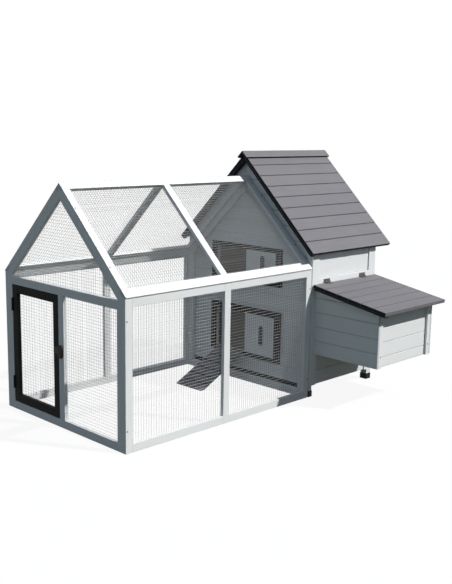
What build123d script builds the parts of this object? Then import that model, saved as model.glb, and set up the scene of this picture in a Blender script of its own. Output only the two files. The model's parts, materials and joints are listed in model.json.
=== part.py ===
from build123d import *
import os
from math import atan2, cos, hypot, sin, tan

# Chicken coop: a gabled wire mesh run, a boarded hen house on legs and a nest box on its side.
# Millimetres, +Z up. X runs from the run's front gable to the house, the nest box is on the -Y side.
# The origin is on the ground, in the middle of the whole object's box.

# Timber of the run
run_length = 1450.0
run_width = 1100.0
run_eave = 821.0  # roof plane over the outer face of a long side
run_ridge = 1351.0
stick_w = 46.0
stick_t = 22.0
gable_w = 38.0  # gable rafter
eave_lip = 9.0  # long side's top edge below the roof plane
eave_lap = 5.0  # eave rail past a long side
rafter_heel = 20.0  # upright end of a gable rafter, against a long side
joint = 0.4  # hairline between butted sticks

# Wire mesh
mesh_pitch = 42.0
wire_w = 2.4
mesh_t = 2.0
mesh_lap = 15.0  # mesh stapled behind a stick
mesh_scrap = 60.0  # smallest gap area cut at a slanting edge

# Run door
door_opening = 455.0
door_gap = 3.0
hinge_gap = 4.0
door_hinge_length = 75.0
door_hinge_leaf = 20.0
door_hinge_inset = 115.0  # hinge centre from the door's top and bottom edges

# Hinge parts shared by the door, the lid and the ramp
barrel_r = 4.0
pin_r = 2.0
pin_fit = 0.05
pin_proud = 1.0
leaf_t = 1.8
leaf_clear = 0.2
leaf_start = 0.7  # first plate edge beyond the barrel
knuckle_gap = 0.4
barrel_clear = 0.6
hinge_length = 60.0
leaf_reach = 28.0  # hinge axis to a plate's far edge

# Door latch
latch_z = 435.0
latch_base_r = 12.0
latch_base_t = 4.0
latch_pivot_r = 3.0
latch_head_r = 6.0
latch_head_t = 2.0
latch_clear = 0.3
button_length = 75.0
button_w = 46.0
button_t = 10.0
button_round = 2.5
keeper_w = 34.0
keeper_h = 36.0
keeper_t = 3.0
keeper_inset = 1.0  # keeper from the door edge, clear of the upright button

# House walls
house_gap = 8.0
house_depth = 650.0
strip_setback = 6.0  # joining strip behind the near and far faces
wall_bottom = 68.0
post_w = 68.0
post_d = 46.0
front_leg_w = 28.0
back_leg_w = 42.0
cap_h = 38.0
cap_wall = 2.5
cap_floor = 4.0
board_pitch = 90.0
board_t = 14.0
board_recess = 8.0
board_gap = 1.0
board_bevel = 2.5
least_board = 0.33  # narrowest board at a wall's end, as a share of the pitch
rail_h = 46.0
plate_drop = 8.0  # wall top below the roof boards
skirt_low = 14.0  # base board to the ground
floor_t = 12.0
floor_pitch = 112.0

# House roof, with battens as on the nest lid
eave_step = 92.0  # house eave above the run's eave
ridge_step = 140.0  # house ridge above the run's ridge
eave_overhang = 39.0
front_overhang = 46.0
back_overhang = 109.0
roof_t = 20.0
batten_w = 32.0
batten_t = 11.0
batten_stop = 60.0  # back batten short of the eave
eave_board_w = 94.0
ridge_cap_w = 44.0
ridge_cap_t = 12.0
cap_lap_front = 22.0  # cap past the roof boards over the run
cap_lap_back = 12.0

# Sliding doors in the house front
slide_frame_w = 616.0
slide_stile = 45.0
slide_sill = 25.0
lower_frame_z = 166.0
lower_frame_h = 331.0
lower_head = 40.0
upper_frame_z = 662.0
upper_frame_h = 243.0
upper_head = 28.0
face_t = 8.0
track_t = 10.0
slide_panel_t = 9.0
slide_lap = 8.0  # panel edge hidden behind the face frame
slide_clear = 0.3
pull_w = 28.0
pull_h = 130.0
pull_t = 12.0
pull_round = 5.0
pull_shift = 14.0  # pull from the panel's middle, towards the nest box

# Ramp
ramp_w = 230.0
ramp_run = 390.0
ramp_top = 200.0
ramp_t = 18.0
ramp_tip = 4.0
ramp_clear = 4.0  # upper end to the sill's face
ramp_shift = 24.0  # ramp centre from the pop hole's centre, towards the nest box
cleat_count = 5
cleat_w = 14.0
cleat_t = 8.0
cleat_margin = 12.0

# Nest box and lid
nest_w = 570.0
nest_reach = 474.0
nest_bottom = 268.0
nest_post_w = 46.0
nest_post_t = 28.0
nest_front_row = 60.0  # lowest front board
nest_sill_rows = 3  # wall boards below the nest opening
divider_t = 12.0
divider_drop = 12.0
lid_w = 640.0
lid_reach = 541.0
lid_top = 715.0
lid_drop = 94.0
lid_t = 20.0
lid_board_count = 6
lid_gap = 2.0  # lid edge to the wall
lid_seat = 0.5  # lid to the nest box below
batten_inset = 20.0
lid_batten_stop = 50.0  # back batten short of the lid's front
lid_hinge_inset = 136.0  # hinge centre from the lid's end
lid_leaf_reach = 18.0  # hinge axis to the wall plate's far edge
header_rise = 31.0  # header top above the lid

# Perches and screws
perch_w = 45.0
perch_h = 34.0
perch_z = 560.0
perch_round = 8.0
perch_spacing = 260.0
perch_offset = 190.0  # middle of the pair from the house's middle, away from the nest box
screw_r = 4.5
screw_t = 1.6
screw_inset = 10.0
screw_end = 120.0  # screw to a stile's end
roof_screw_low = 184.0  # screw up the slope from the eave
roof_screw_high = 134.0  # screw down the slope from the ridge rail
nest_screw_end = 68.0  # screw to a nest post's end

# Places along X and Y
latch_reach = latch_base_t + button_t + latch_head_t + 2 * latch_clear
overall_length = latch_reach + run_length + house_gap + house_depth + back_overhang + cap_lap_back
overall_width = lid_reach + run_width + eave_overhang
front_x = latch_reach - overall_length / 2
rear_x = front_x + run_length
house_front = rear_x + house_gap
house_back = house_front + house_depth
house_mid = (house_front + house_back) / 2
near_y = lid_reach - overall_width / 2
far_y = near_y + run_width
mid_y = (near_y + far_y) / 2
middle = Plane.XZ.offset(-mid_y)

# Run roof
run_slope = atan2(run_ridge - run_eave, run_width / 2)
run_rafter_length = hypot(run_ridge - run_eave, run_width / 2)
run_roof = Plane(
    origin=(0, near_y, run_eave), x_dir=(1, 0, 0), z_dir=(0, -sin(run_slope), cos(run_slope))
)
side_top = run_eave - eave_lip
inner_near = near_y + stick_t
inner_far = far_y - stick_t

# House roof
house_eave = run_eave + eave_step
house_ridge = run_ridge + ridge_step
house_half = run_width / 2 + eave_overhang
house_slope = atan2(house_ridge - house_eave, house_half)
house_rafter_length = hypot(house_ridge - house_eave, house_half)
house_roof = Plane(
    origin=(0, near_y - eave_overhang, house_eave),
    x_dir=(1, 0, 0),
    z_dir=(0, -sin(house_slope), cos(house_slope)),
)


def side_plane(y):
    return Plane.XZ.offset(-y)


def cross_plane(x):
    return Plane.YZ.offset(x)


def bar(u0, u1, v0, v1):
    with Locations(((u0 + u1) / 2, (v0 + v1) / 2)):
        Rectangle(u1 - u0, v1 - v0)


def run_point(s, depth):
    # Point of the near roof slope, s up the slope and depth below its outer face
    y = near_y + s * cos(run_slope) + depth * sin(run_slope)
    z = run_eave + s * sin(run_slope) - depth * cos(run_slope)
    return (y, z)


def run_roof_z(y, depth):
    return run_eave + (y - near_y) * tan(run_slope) - depth / cos(run_slope)


def run_roof_y(z, depth):
    return near_y + (z - run_eave + depth / cos(run_slope)) / tan(run_slope)


def house_point(s, depth):
    # Point of the near house roof, s up the slope and depth below its outer face
    y = near_y - eave_overhang + s * cos(house_slope) + depth * sin(house_slope)
    z = house_eave + s * sin(house_slope) - depth * cos(house_slope)
    return (y, z)


def house_roof_z(y, depth):
    rise = (y - near_y + eave_overhang) * tan(house_slope)
    return house_eave + rise - depth / cos(house_slope)


def house_roof_y(z, depth):
    rise = z - house_eave + depth / cos(house_slope)
    return near_y - eave_overhang + rise / tan(house_slope)


def mirrored(points):
    return [(2 * mid_y - y, z) for y, z in reversed(points)]


def rows(start, end, pitch, first):
    # Board edges from start to end: one board of its own width, then equal ones
    edges = [start]
    step = first
    while edges[-1] + step < end - pitch * least_board:
        edges.append(edges[-1] + step)
        step = pitch
    edges.append(end)
    return [(low, high - board_gap) for low, high in zip(edges, edges[1:])]


def board_row(u0, u1, v0, v1, openings):
    # One board, cut into convex lengths around the openings that it meets
    cuts = [o for o in openings if o[2] < v1 and o[3] > v0 and o[0] < u1 and o[1] > u0]
    if not cuts:
        bar(u0, u1, v0, v1)
        return
    left, right, low, high = cuts[0]
    bar(u0, left, v0, v1)
    bar(right, u1, v0, v1)
    if low - joint > v0:
        bar(left + joint, right - joint, v0, low)
    if high + joint < v1:
        bar(left + joint, right - joint, high, v1)


def mesh_panel(plane, opening, outline):
    # Welded mesh over an opening: one face with its gaps as inner wires, stapled round the edge
    left = min(u for u, v in opening)
    right = max(u for u, v in opening)
    low = min(v for u, v in opening)
    high = max(v for u, v in opening)
    across = round((right - left) / mesh_pitch)
    up = round((high - low) / mesh_pitch)
    pitch_u = (right - left) / across
    pitch_v = (high - low) / up
    with BuildSketch() as gaps:
        with Locations(((left + right) / 2, (low + high) / 2)):
            with GridLocations(pitch_u, pitch_v, across, up):
                Rectangle(pitch_u - wire_w, pitch_v - wire_w)
        if len(opening) == 3:
            Polygon(*opening, align=None, mode=Mode.INTERSECT)
    holes = [gap.outer_wire() for gap in gaps.sketch.faces() if gap.area > mesh_scrap]
    with BuildPart() as panel:
        with BuildSketch(plane):
            add(Face(Wire.make_polygon(outline), holes))
        extrude(amount=mesh_t)
    return panel


def bay_mesh(plane, u0, u1, v0, v1):
    opening = [(u0, v0), (u1, v0), (u1, v1), (u0, v1)]
    lap = mesh_lap
    outline = [(u0 - lap, v0 - lap), (u1 + lap, v0 - lap), (u1 + lap, v1 + lap), (u0 - lap, v1 + lap)]
    return mesh_panel(plane, opening, outline)


def hinge_leaf(plane, length, leaf_w, v0, v1, ends):
    # Plate along the plane's x with its knuckles round the plane's z: the two ends, or the middle
    third = length / 3
    if ends:
        knuckles = [(-length / 2, third), (length / 2 - third, third)]
    else:
        knuckles = [(-third / 2 + knuckle_gap, third - 2 * knuckle_gap)]
    plate_start = barrel_r + leaf_start
    with BuildPart() as leaf:
        with BuildSketch(plane.offset(-length / 2)):
            bar(plate_start, leaf_w, v0, v1)
        extrude(amount=length)
        for start, height in knuckles:
            with BuildSketch(plane.offset(start)):
                Circle(barrel_r)
                bar(0, plate_start, v0, v1)
                Circle(pin_r + pin_fit, mode=Mode.SUBTRACT)
            extrude(amount=height)
    return leaf.part


def hinge_pin(plane, length):
    with BuildPart() as pin:
        with BuildSketch(plane.offset(-length / 2 - pin_proud)):
            Circle(pin_r)
        extrude(amount=length + 2 * pin_proud)
    return pin.part


# Run front: two posts, three rails and a mullion, with a pair of gable rafters on top
post_near = inner_near + stick_w
post_far = inner_far - stick_w
rafter_top = stick_t
rafter_low = stick_t + gable_w
cross_top = run_roof_z(inner_near, rafter_top) - rafter_heel
cross_low = cross_top - stick_w
door_near = post_far - door_opening
mullion_near = door_near - stick_w
gable_foot = run_roof_y(cross_top + joint, rafter_low)
gable_rafter = [
    (inner_near, cross_top + joint),
    (gable_foot, cross_top + joint),
    (mid_y - joint / 2, run_roof_z(mid_y - joint / 2, rafter_low)),
    (mid_y - joint / 2, run_roof_z(mid_y - joint / 2, rafter_top)),
    (inner_near, run_roof_z(inner_near, rafter_top)),
]

with BuildPart() as run_front_frame:
    with BuildSketch(cross_plane(front_x)):
        bar(inner_near, post_near, 0, cross_top)
        bar(post_far, inner_far, 0, cross_top)
        bar(post_near + joint, post_far - joint, 0, stick_w)
        bar(post_near + joint, post_far - joint, cross_low, cross_top)
        bar(mullion_near, door_near, stick_w + joint, cross_low - joint)
        Polygon(*gable_rafter, align=None)
        Polygon(*mirrored(gable_rafter), align=None)
    extrude(amount=stick_t)

mesh_x = front_x + stick_t
run_front_mesh = bay_mesh(cross_plane(mesh_x), post_near, mullion_near, stick_w, cross_low)

gable_opening = [
    (run_roof_y(cross_top, rafter_low), cross_top),
    (2 * mid_y - run_roof_y(cross_top, rafter_low), cross_top),
    (mid_y, run_roof_z(mid_y, rafter_low)),
]
gable_lap = rafter_low - mesh_lap
gable_end = inner_near + joint
gable_outline = [
    (gable_end, cross_top - mesh_lap),
    (2 * mid_y - gable_end, cross_top - mesh_lap),
    (2 * mid_y - gable_end, run_roof_z(gable_end, gable_lap)),
    (mid_y, run_roof_z(mid_y, gable_lap)),
    (gable_end, run_roof_z(gable_end, gable_lap)),
]
run_gable_mesh = mesh_panel(cross_plane(mesh_x), gable_opening, gable_outline)

# Run rear, open to the house front
with BuildPart() as run_rear_frame:
    with BuildSketch(cross_plane(rear_x - stick_t)):
        bar(inner_near, post_near, 0, cross_top)
        bar(post_far, inner_far, 0, cross_top)
        bar(post_near + joint, post_far - joint, 0, stick_w)
        Polygon(*gable_rafter, align=None)
        Polygon(*mirrored(gable_rafter), align=None)
    extrude(amount=stick_t)

# Long sides: three stiles with a top and a bottom rail in each bay, mesh on the inner face
mid_stile = (front_x + rear_x - stick_w) / 2
stiles = [front_x, mid_stile, rear_x - stick_w]
bays = [(left + stick_w, right) for left, right in zip(stiles, stiles[1:])]

with BuildPart() as run_near_frame:
    with BuildSketch(side_plane(inner_near)):
        for left in stiles:
            bar(left, left + stick_w, 0, side_top)
        for left, right in bays:
            bar(left + joint, right - joint, 0, stick_w)
            bar(left + joint, right - joint, side_top - stick_w, side_top)
    extrude(amount=stick_t)

with BuildPart() as run_far_frame:
    mirror(run_near_frame.part, about=middle)

near_mesh_plane = side_plane(inner_near + mesh_t)
run_near_meshes = [
    bay_mesh(near_mesh_plane, left, right, stick_w, side_top - stick_w) for left, right in bays
]

# Run roof: eave rail cut level on the long side, ridge rail cut upright, rafters between them
ridge_rail_s = run_rafter_length - stick_w
eave_edge = near_y - eave_lap
eave_rail = [
    (eave_edge, side_top),
    (run_roof_y(side_top, stick_t), side_top),
    run_point(stick_w, stick_t),
    run_point(stick_w, 0),
    (eave_edge, run_roof_z(eave_edge, 0)),
]
ridge_rail = [
    run_point(ridge_rail_s, stick_t),
    (mid_y - joint / 2, run_roof_z(mid_y - joint / 2, stick_t)),
    (mid_y - joint / 2, run_roof_z(mid_y - joint / 2, 0)),
    run_point(ridge_rail_s, 0),
]

with BuildPart() as run_near_roof_frame:
    with BuildSketch(cross_plane(front_x)):
        Polygon(*eave_rail, align=None)
        Polygon(*ridge_rail, align=None)
    extrude(amount=run_length)
    with BuildSketch(run_roof):
        for left in stiles:
            bar(left, left + stick_w, stick_w + joint, ridge_rail_s - joint)
    extrude(amount=-stick_t)

with BuildPart() as run_far_roof_frame:
    mirror(run_near_roof_frame.part, about=middle)

roof_mesh_plane = run_roof.offset(-stick_t - mesh_t)
run_near_roof_meshes = [
    bay_mesh(roof_mesh_plane, left, right, stick_w, ridge_rail_s) for left, right in bays
]

far_meshes = []
for near_mesh in run_near_meshes + run_near_roof_meshes:
    with BuildPart() as far_mesh:
        mirror(near_mesh.part, about=middle)
    far_meshes.append(far_mesh)

# Run door between the mullion and the far post, with its own mesh
door_low = stick_w + door_gap
door_high = cross_low - door_gap
door_edge = door_near + door_gap
door_hinge_edge = post_far - hinge_gap

with BuildPart() as run_door_frame:
    with BuildSketch(cross_plane(front_x)):
        for left in (door_edge, door_hinge_edge - stick_w):
            bar(left, left + stick_w, door_low, door_high)
        for low in (door_low, door_high - stick_w):
            bar(
                door_edge + stick_w + joint,
                door_hinge_edge - stick_w - joint,
                low,
                low + stick_w,
            )
    extrude(amount=stick_t)

run_door_mesh = bay_mesh(
    cross_plane(mesh_x),
    door_edge + stick_w,
    door_hinge_edge - stick_w,
    door_low + stick_w,
    door_high - stick_w,
)

# Door hinges: leaves in the gap beside the post, barrels proud of the front
door_axis_x = front_x - barrel_r - leaf_start + leaf_clear
door_axis_y = post_far - hinge_gap / 2
door_hinge_z = [door_low + door_hinge_inset, door_high - door_hinge_inset]
door_planes = [Plane(origin=(door_axis_x, door_axis_y, z), x_dir=(1, 0, 0)) for z in door_hinge_z]
door_leaf_w = door_hinge_leaf + barrel_r

door_post_leaves = [
    hinge_leaf(plane, door_hinge_length, door_leaf_w, leaf_clear, hinge_gap / 2, True)
    for plane in door_planes
]
door_door_leaves = [
    hinge_leaf(plane, door_hinge_length, door_leaf_w, -hinge_gap / 2, -leaf_clear, False)
    for plane in door_planes
]

with BuildPart() as door_hinge_post_leaves:
    add(door_post_leaves)

with BuildPart() as door_hinge_door_leaves:
    add(door_door_leaves)

# Turn latch on the mullion and its keeper on the door
latch_y = (mullion_near + door_near) / 2
latch_plane = Plane(origin=(front_x, latch_y, latch_z), x_dir=(0, -1, 0), z_dir=(-1, 0, 0))
button_start = latch_base_t + latch_clear
pivot_end = button_start + button_t + latch_clear

with BuildPart() as latch_base:
    with BuildSketch(latch_plane):
        Circle(latch_base_r)
    extrude(amount=latch_base_t)
    with BuildSketch(latch_plane):
        Circle(latch_pivot_r)
    extrude(amount=pivot_end)
    with BuildSketch(latch_plane.offset(pivot_end)):
        Circle(latch_head_r)
    extrude(amount=latch_head_t)

with BuildPart() as latch_button:
    with BuildSketch(latch_plane.offset(button_start)):
        Ellipse(button_w / 2, button_length / 2)
    extrude(amount=button_t)
    fillet(latch_button.faces().sort_by(Axis.X)[0].edges(), button_round)
    with BuildSketch(latch_plane.offset(button_start)):
        Circle(latch_pivot_r + pin_fit)
    extrude(amount=button_t, mode=Mode.SUBTRACT)

with BuildPart() as latch_keeper:
    with BuildSketch(cross_plane(front_x - keeper_t)):
        with BuildLine():
            Polyline(
                (door_edge + keeper_inset, latch_z + keeper_h / 2),
                (door_edge + keeper_inset, latch_z),
                (door_edge + keeper_w / 3, latch_z - keeper_h / 2),
                (door_edge + keeper_w, latch_z - keeper_h / 2),
                (door_edge + keeper_w, latch_z + keeper_h / 2),
                close=True,
            )
        make_face()
    extrude(amount=keeper_t)

# House corner posts with their legs, each leg in a plastic cap
wall_top = house_roof_z(near_y, roof_t) - plate_drop
leg_places = [(house_front, front_leg_w), (house_back - back_leg_w, back_leg_w)]

with BuildPart() as house_posts:
    with BuildSketch(Plane.XY.offset(wall_bottom)):
        for left in (house_front, house_back - post_w):
            bar(left, left + post_w, near_y, near_y + post_d)
            bar(left, left + post_w, far_y - post_d, far_y)
    extrude(amount=wall_top - wall_bottom)
    with BuildSketch(Plane.XY.offset(cap_floor)):
        for left, width in leg_places:
            bar(left, left + width, near_y, near_y + post_d)
            bar(left, left + width, far_y - post_d, far_y)
    extrude(amount=wall_bottom - joint - cap_floor)

with BuildPart() as foot_caps:
    with BuildSketch():
        for left, width in leg_places:
            for low in (near_y, far_y - post_d):
                bar(left - cap_wall, left + width + cap_wall, low - cap_wall, low + post_d + cap_wall)
    extrude(amount=cap_h)
    with BuildSketch(Plane.XY.offset(cap_floor)):
        for left, width in leg_places:
            for low in (near_y, far_y - post_d):
                bar(left, left + width, low, low + post_d)
    extrude(amount=cap_h - cap_floor, mode=Mode.SUBTRACT)

# Strips that join the run's rear end to the house posts
with BuildPart() as joining_strips:
    with BuildSketch(cross_plane(rear_x)):
        bar(near_y + strip_setback, near_y + post_d, wall_bottom, cross_top)
        bar(far_y - post_d, far_y - strip_setback, wall_bottom, cross_top)
    extrude(amount=house_gap)

# House rails: floor bearers, wall plates and the header over the nest opening
wall_left = house_front + post_w + joint
wall_right = house_back - post_w - joint
front_inner = house_front + board_t
back_inner = house_back - board_recess - board_t
side_inner = board_recess + board_t
header_top = lid_top + header_rise
nest_sill = wall_bottom + nest_sill_rows * board_pitch
nest_head = header_top - 2 * rail_h

with BuildPart() as house_rails:
    with BuildSketch(Plane.XY.offset(wall_bottom)):
        bar(front_inner, front_inner + stick_t, near_y + post_d + joint, far_y - post_d - joint)
        bar(back_inner - stick_t, back_inner, near_y + post_d + joint, far_y - post_d - joint)
        bar(wall_left, wall_right, near_y + side_inner, near_y + side_inner + stick_t)
        bar(wall_left, wall_right, far_y - side_inner - stick_t, far_y - side_inner)
    extrude(amount=rail_h)
    with BuildSketch(Plane.XY.offset(wall_top - rail_h)):
        bar(wall_left, wall_right, near_y + side_inner, near_y + side_inner + stick_t)
        bar(wall_left, wall_right, far_y - side_inner - stick_t, far_y - side_inner)
    extrude(amount=rail_h)
    with BuildSketch(Plane.XY.offset(nest_head)):
        bar(wall_left, wall_right, near_y, near_y + side_inner - joint)
    extrude(amount=header_top - nest_head)

# Base board between the front legs, behind the gap over the run's rear rail
skirt_inset = post_d + cap_wall + joint
with BuildPart() as house_skirt:
    with BuildSketch(Plane.XY.offset(skirt_low)):
        bar(front_inner, front_inner + stick_t, near_y + skirt_inset, far_y - skirt_inset)
    extrude(amount=wall_bottom - joint - skirt_low)

floor_z = wall_bottom + rail_h
floor_edges = rows(near_y + post_d + joint, far_y - post_d, floor_pitch, floor_pitch)

with BuildPart() as house_floor:
    with BuildSketch(Plane.XY.offset(floor_z)):
        for low, high in floor_edges:
            bar(front_inner + joint, back_inner - joint, low, high)
    extrude(amount=floor_t)

# Sliding door frames, tracks and pop holes in the house front
frame_near = mid_y - slide_frame_w / 2
frame_far = mid_y + slide_frame_w / 2
hole_far = frame_far - slide_stile
panel_near = frame_near + slide_stile - slide_lap
panel_w = slide_frame_w / 2 - slide_stile + slide_lap
slide_travel = frame_far - slide_stile + slide_lap - panel_near - panel_w
slide_doors = {
    "lower": (lower_frame_z, lower_frame_h, lower_head),
    "upper": (upper_frame_z, upper_frame_h, upper_head),
}
pop_holes = [
    (panel_near + panel_w + slide_lap / 2, hole_far, low + slide_sill, low + height - head)
    for low, height, head in slide_doors.values()
]
track_x = house_front - track_t
face_x = track_x - face_t
slide_frames = {}
slide_panels = {}
slide_pulls = {}
track_bars = []

for name, (low, height, head) in slide_doors.items():
    sill_top = low + slide_sill
    head_low = low + height - head
    track_low = sill_top - slide_lap
    track_high = head_low + slide_lap
    with BuildPart() as face_frame:
        with BuildSketch(cross_plane(face_x)):
            bar(frame_near, frame_far, low, sill_top)
            bar(frame_near, frame_far, head_low, low + height)
            for left in (frame_near, hole_far):
                bar(left, left + slide_stile, sill_top + joint, head_low - joint)
        extrude(amount=face_t)
    slide_frames[name] = face_frame

    panel_low = track_low + slide_clear
    panel_high = track_high - slide_clear
    with BuildPart() as panel:
        with BuildSketch(cross_plane(track_x + (track_t - slide_panel_t) / 2)):
            bar(panel_near + slide_clear, panel_near + panel_w, panel_low, panel_high)
        extrude(amount=slide_panel_t)
    slide_panels[name] = panel

    pull_y = (frame_near + slide_stile + panel_near + panel_w) / 2 - pull_shift
    with BuildPart() as pull:
        with BuildSketch(cross_plane(track_x + (track_t - slide_panel_t) / 2 - pull_t)):
            with Locations((pull_y, (panel_low + panel_high) / 2)):
                RectangleRounded(pull_w, pull_h, pull_w / 2 - joint)
        extrude(amount=pull_t)
        fillet(pull.faces().sort_by(Axis.X)[0].edges(), pull_round)
    slide_pulls[name] = pull

    track_bars += [
        (frame_near, frame_far, low, track_low),
        (frame_near, frame_far, track_high, low + height),
        (frame_near, panel_near, track_low + joint, track_high - joint),
        (hole_far + slide_lap, frame_far, track_low + joint, track_high - joint),
    ]

with BuildPart() as door_tracks:
    with BuildSketch(cross_plane(track_x)):
        for u0, u1, v0, v1 in track_bars:
            bar(u0, u1, v0, v1)
    extrude(amount=track_t)

# House walls of level boards, the two ends running up into the gables
wall_rows = rows(wall_bottom, house_ridge, board_pitch, board_pitch)
board_depth = roof_t + joint
gable_line = [
    (near_y + post_d + joint, wall_bottom),
    (far_y - post_d - joint, wall_bottom),
    (far_y - post_d - joint, wall_top + joint),
    (far_y, wall_top + joint),
    (far_y, house_roof_z(near_y, board_depth)),
    (mid_y, house_roof_z(mid_y, board_depth)),
    (near_y, house_roof_z(near_y, board_depth)),
    (near_y, wall_top + joint),
    (near_y + post_d + joint, wall_top + joint),
]


def gable_wall(x, openings, outward):
    with BuildPart() as wall:
        with BuildSketch(cross_plane(x)):
            for low, high in wall_rows:
                board_row(near_y, far_y, low, high, openings)
            Polygon(*gable_line, align=None, mode=Mode.INTERSECT)
        extrude(amount=board_t)
        chamfer(wall.edges().filter_by(Axis.Y).group_by(outward)[-1], board_bevel)
    return wall


def side_wall(y, row_list, outward):
    with BuildPart() as wall:
        with BuildSketch(side_plane(y)):
            for low, high in row_list:
                bar(wall_left, wall_right, low, high)
        extrude(amount=board_t)
        chamfer(wall.edges().filter_by(Axis.X).group_by(outward)[-1], board_bevel)
    return wall


house_front_boards = gable_wall(house_front, pop_holes, -Axis.X)
house_back_boards = gable_wall(back_inner, [], Axis.X)
low_rows = rows(wall_bottom, nest_sill, board_pitch, board_pitch)
high_rows = [(header_top + joint, wall_top)]
house_near_boards = side_wall(near_y + side_inner, low_rows + high_rows, -Axis.Y)
all_rows = rows(wall_bottom, wall_top, board_pitch, board_pitch)
house_far_boards = side_wall(far_y - board_recess, all_rows, Axis.Y)

# House rafters behind the two gables, seated on the posts
rafter_foot = house_roof_y(wall_top + joint, roof_t + stick_w)
house_rafter = [
    (near_y, wall_top),
    (rafter_foot, wall_top),
    (mid_y - joint / 2, house_roof_z(mid_y - joint / 2, roof_t + stick_w)),
    (mid_y - joint / 2, house_roof_z(mid_y - joint / 2, roof_t)),
    (near_y, house_roof_z(near_y, roof_t)),
]

with BuildPart() as house_rafters:
    for x in (front_inner, back_inner - stick_t):
        with BuildSketch(cross_plane(x)):
            Polygon(*house_rafter, align=None)
            Polygon(*mirrored(house_rafter), align=None)
        extrude(amount=stick_t)

# House roof boards and ridge caps
roof_left = house_front - front_overhang
roof_right = house_back + back_overhang
roof_end = house_rafter_length - roof_t * tan(house_slope)

with BuildPart() as roof_near_boards:
    with BuildSketch(house_roof):
        for low, high in rows(0, roof_end, board_pitch, eave_board_w):
            bar(roof_left, roof_right, low, high)
    extrude(amount=-roof_t)
    roof_normal = Axis((0, 0, 0), (0, -sin(house_slope), cos(house_slope)))
    board_edges = roof_near_boards.edges().filter_by(Axis.X).group_by(roof_normal)[-1]
    chamfer(board_edges.sort_by(Axis.Z)[1:], board_bevel)

with BuildPart() as roof_far_boards:
    mirror(roof_near_boards.part, about=middle)

cap_s = house_rafter_length - ridge_cap_w
ridge_cap = [
    house_point(cap_s, 0),
    (mid_y - joint / 2, house_roof_z(mid_y - joint / 2, 0)),
    (mid_y - joint / 2, house_roof_z(mid_y - joint / 2, -ridge_cap_t)),
    house_point(cap_s, -ridge_cap_t),
]

with BuildPart() as roof_ridge_caps:
    with BuildSketch(cross_plane(roof_left - cap_lap_front)):
        Polygon(*ridge_cap, align=None)
        Polygon(*mirrored(ridge_cap), align=None)
    extrude(amount=roof_right - roof_left + cap_lap_front + cap_lap_back)

# Battens under the two ends of the roof boards, the back one short of the eaves
batten_low = roof_t + batten_t

with BuildPart() as roof_battens:
    for x, start in ((roof_left, 0), (roof_right - batten_w, batten_stop)):
        roof_batten = [
            house_point(start, roof_t),
            house_point(start, batten_low),
            (mid_y - joint / 2, house_roof_z(mid_y - joint / 2, batten_low)),
            (mid_y - joint / 2, house_roof_z(mid_y - joint / 2, roof_t)),
        ]
        with BuildSketch(cross_plane(x)):
            Polygon(*roof_batten, align=None)
            Polygon(*mirrored(roof_batten), align=None)
        extrude(amount=batten_w)

# Perches from the front wall to the back wall
with BuildPart() as perches:
    with BuildSketch(cross_plane(front_inner)):
        with Locations((mid_y + perch_offset, perch_z)):
            with GridLocations(perch_spacing, 1, 2, 1):
                RectangleRounded(perch_w, perch_h, perch_round)
    extrude(amount=back_inner - front_inner)

# Nest box on the near wall
nest_left = house_mid - nest_w / 2
nest_right = house_mid + nest_w / 2
nest_front = near_y - nest_reach
lid_slope = atan2(lid_drop, lid_reach)


def lid_z(y, depth):
    return lid_top + (y - near_y) * tan(lid_slope) - depth / cos(lid_slope)


side_line = [
    (nest_front, nest_bottom),
    (near_y, nest_bottom),
    (near_y, lid_z(near_y, lid_t + lid_seat)),
    (nest_front, lid_z(nest_front, lid_t + lid_seat)),
]

post_left = nest_left + board_t
post_right = nest_right - board_t
nest_post_end = nest_post_w - board_t
front_top = lid_z(nest_front, lid_t + lid_seat)

with BuildPart() as nest_boards:
    for x in (nest_left, nest_right - board_t):
        with BuildSketch(cross_plane(x)):
            for low, high in rows(nest_bottom, lid_top, board_pitch, board_pitch):
                bar(nest_front, near_y, low, high)
            Polygon(*side_line, align=None, mode=Mode.INTERSECT)
        extrude(amount=board_t)
    side_edges = nest_boards.edges().filter_by(Axis.Y).group_by(Axis.X)
    chamfer(side_edges[0] + side_edges[-1], board_bevel)
    with BuildSketch(side_plane(nest_front + nest_post_t)):
        for low, high in rows(nest_bottom, front_top, board_pitch, nest_front_row):
            bar(post_left + nest_post_end + joint, post_right - nest_post_end - joint, low, high)
    extrude(amount=board_t)
    front_edges = nest_boards.edges(Select.LAST).filter_by(Axis.X).group_by(-Axis.Y)[-1]
    chamfer(front_edges, board_bevel)

with BuildPart() as nest_posts:
    with BuildSketch(Plane.XY.offset(nest_bottom)):
        bar(post_left, post_left + nest_post_end, nest_front, nest_front + nest_post_t)
        bar(post_right - nest_post_end, post_right, nest_front, nest_front + nest_post_t)
    extrude(amount=front_top - nest_bottom)

with BuildPart() as nest_floor:
    with BuildSketch(Plane.XY.offset(nest_bottom)):
        bar(post_left, post_right, nest_front + nest_post_t, near_y)
    extrude(amount=floor_t)

divider_low = nest_bottom + floor_t
divider_front = nest_front + nest_post_t
divider = [
    (divider_front, divider_low),
    (near_y, divider_low),
    (near_y, lid_z(near_y, lid_t + divider_drop)),
    (divider_front, lid_z(divider_front, lid_t + divider_drop)),
]

with BuildPart() as nest_divider:
    with BuildSketch(cross_plane(house_mid - divider_t / 2)):
        Polygon(*divider, align=None)
    extrude(amount=divider_t)

# Nest lid: planks on two battens, hinged on the header
lid_plane = Plane(
    origin=(0, near_y, lid_top), x_dir=(1, 0, 0), z_dir=(0, -sin(lid_slope), cos(lid_slope))
)
lid_length = hypot(lid_drop, lid_reach)
lid_left = house_mid - lid_w / 2
lid_right = house_mid + lid_w / 2
lid_start = lid_gap + lid_t * tan(lid_slope)
lid_board = (lid_length - lid_start) / lid_board_count

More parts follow.
